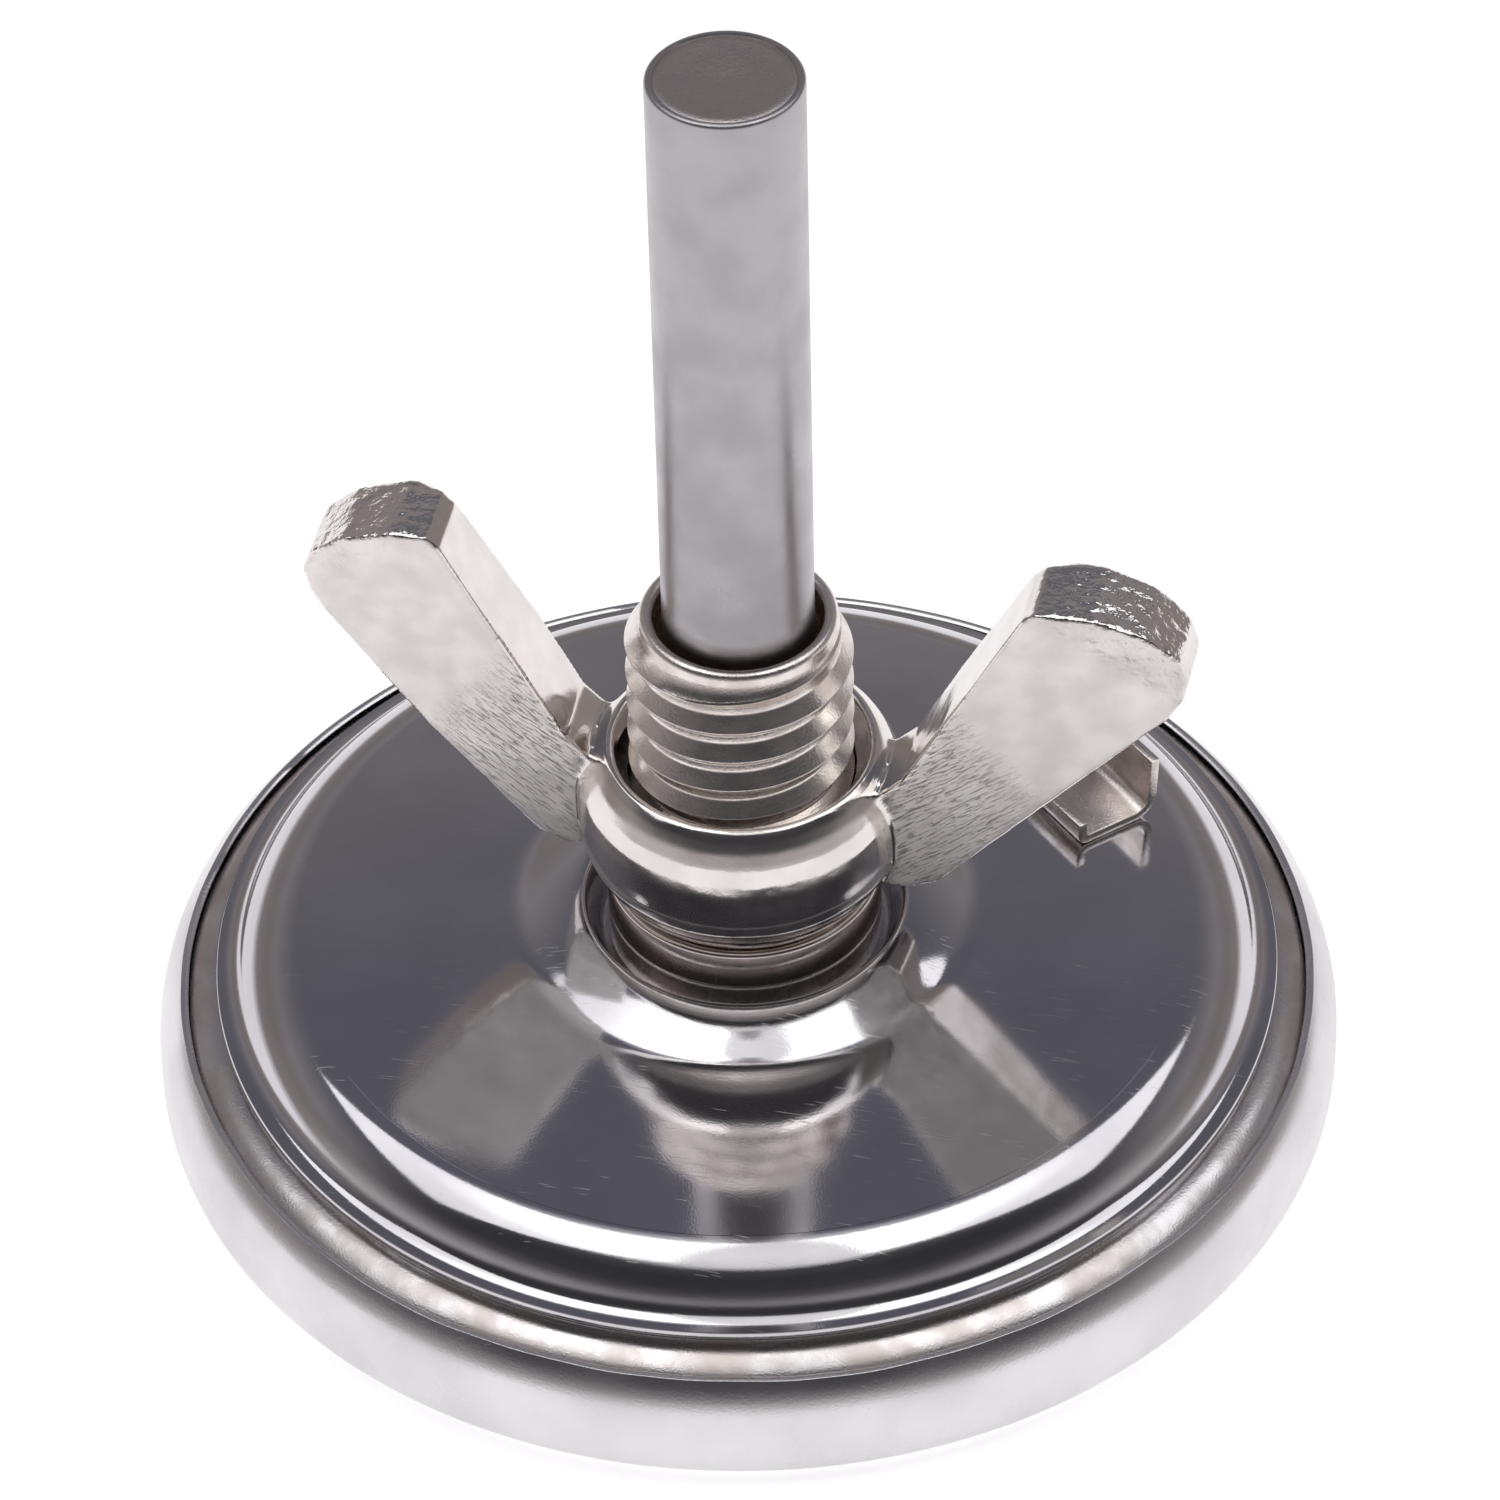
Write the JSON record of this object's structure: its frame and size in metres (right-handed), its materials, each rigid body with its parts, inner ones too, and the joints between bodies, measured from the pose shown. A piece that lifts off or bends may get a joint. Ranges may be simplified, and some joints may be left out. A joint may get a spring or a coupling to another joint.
{
  "type": "dial thermometer with wing nut",
  "caption": "Bimetal dial thermometer with a hollow threaded stud, a forged wing nut and a straight probe, lying on its dial.",
  "frame": {"origin": "centre of the bezel's front face, which the object stands on", "axes": "+Z along the probe towards its tip, +X along the wings of the nut in the rest pose"},
  "size_m": [0.051, 0.051, 0.0528],
  "materials": {
    "bezel_steel": "satin stainless, polished roll",
    "rubber": "matt black",
    "glass": "clear float glass",
    "black_ring": "matt black",
    "dial_face": "matt white",
    "dial_print": "matt black ink",
    "band_steel": "drawn stainless",
    "cover_steel": "polished stainless, fine scratches",
    "plain_steel": "turned steel",
    "stud_nickel": "nickel plated, rolled thread",
    "braze": "dull brown braze",
    "probe_steel": "satin drawn stainless",
    "probe_tip": "dull grey-brown weld",
    "brass": "turned brass",
    "bimetal": "oiled strip",
    "pointer_paint": "matt red",
    "clip_nickel": "nickel plated, bare cut edges",
    "washer_nickel": "nickel plated, turned",
    "nut_nickel": "bright nickel over forged surface"
  },
  "bodies": {
    "case": {"bezel_ring": "bezel_steel", "lens_gasket": "rubber", "glass_lens": "glass", "dial_spacer": "black_ring", "dial_plate": "dial_face", "dial_ticks": "dial_print", "case_band": "band_steel", "back_cover": "cover_steel", "inner_washer": "plain_steel", "inner_nut": "plain_steel", "threaded_stud": "stud_nickel", "braze_ring": "braze", "probe_tube": "probe_steel", "probe_plug": "probe_tip", "upper_bearing": "brass", "lower_bearing": "brass", "coil_anchor": "brass", "pointer_stop": "plain_steel", "anti_turn_clip": "clip_nickel"},
    "movement": {"spindle": "plain_steel", "bimetal_coil": "bimetal", "pointer_hub": "brass", "pointer": "pointer_paint"},
    "nut_ring": {"nut_washer": "washer_nickel"},
    "nut": {"wing_nut": "nut_nickel"}
  },
  "joints": [
    {"name": "pointer_turn", "type": "hinge", "parent": "case", "child": "movement", "pos_m": [0, 0, 0.003], "axis": [0, 0, 1], "range_deg": [0, 280]},
    {"name": "nut_lift", "type": "slide", "parent": "case", "child": "nut_ring", "axis": [0, 0, 1], "range_m": [0, 0.0128]},
    {"name": "nut_turn", "type": "hinge", "parent": "nut_ring", "child": "nut", "pos_m": [0, 0, 0.0147], "axis": [0, 0, 1], "range_deg": [0, 2880]}
  ],
  "couplings": [
    {"joint": "nut_lift", "follows": "nut_turn", "m_per_rad": 0.00025266}
  ]
}
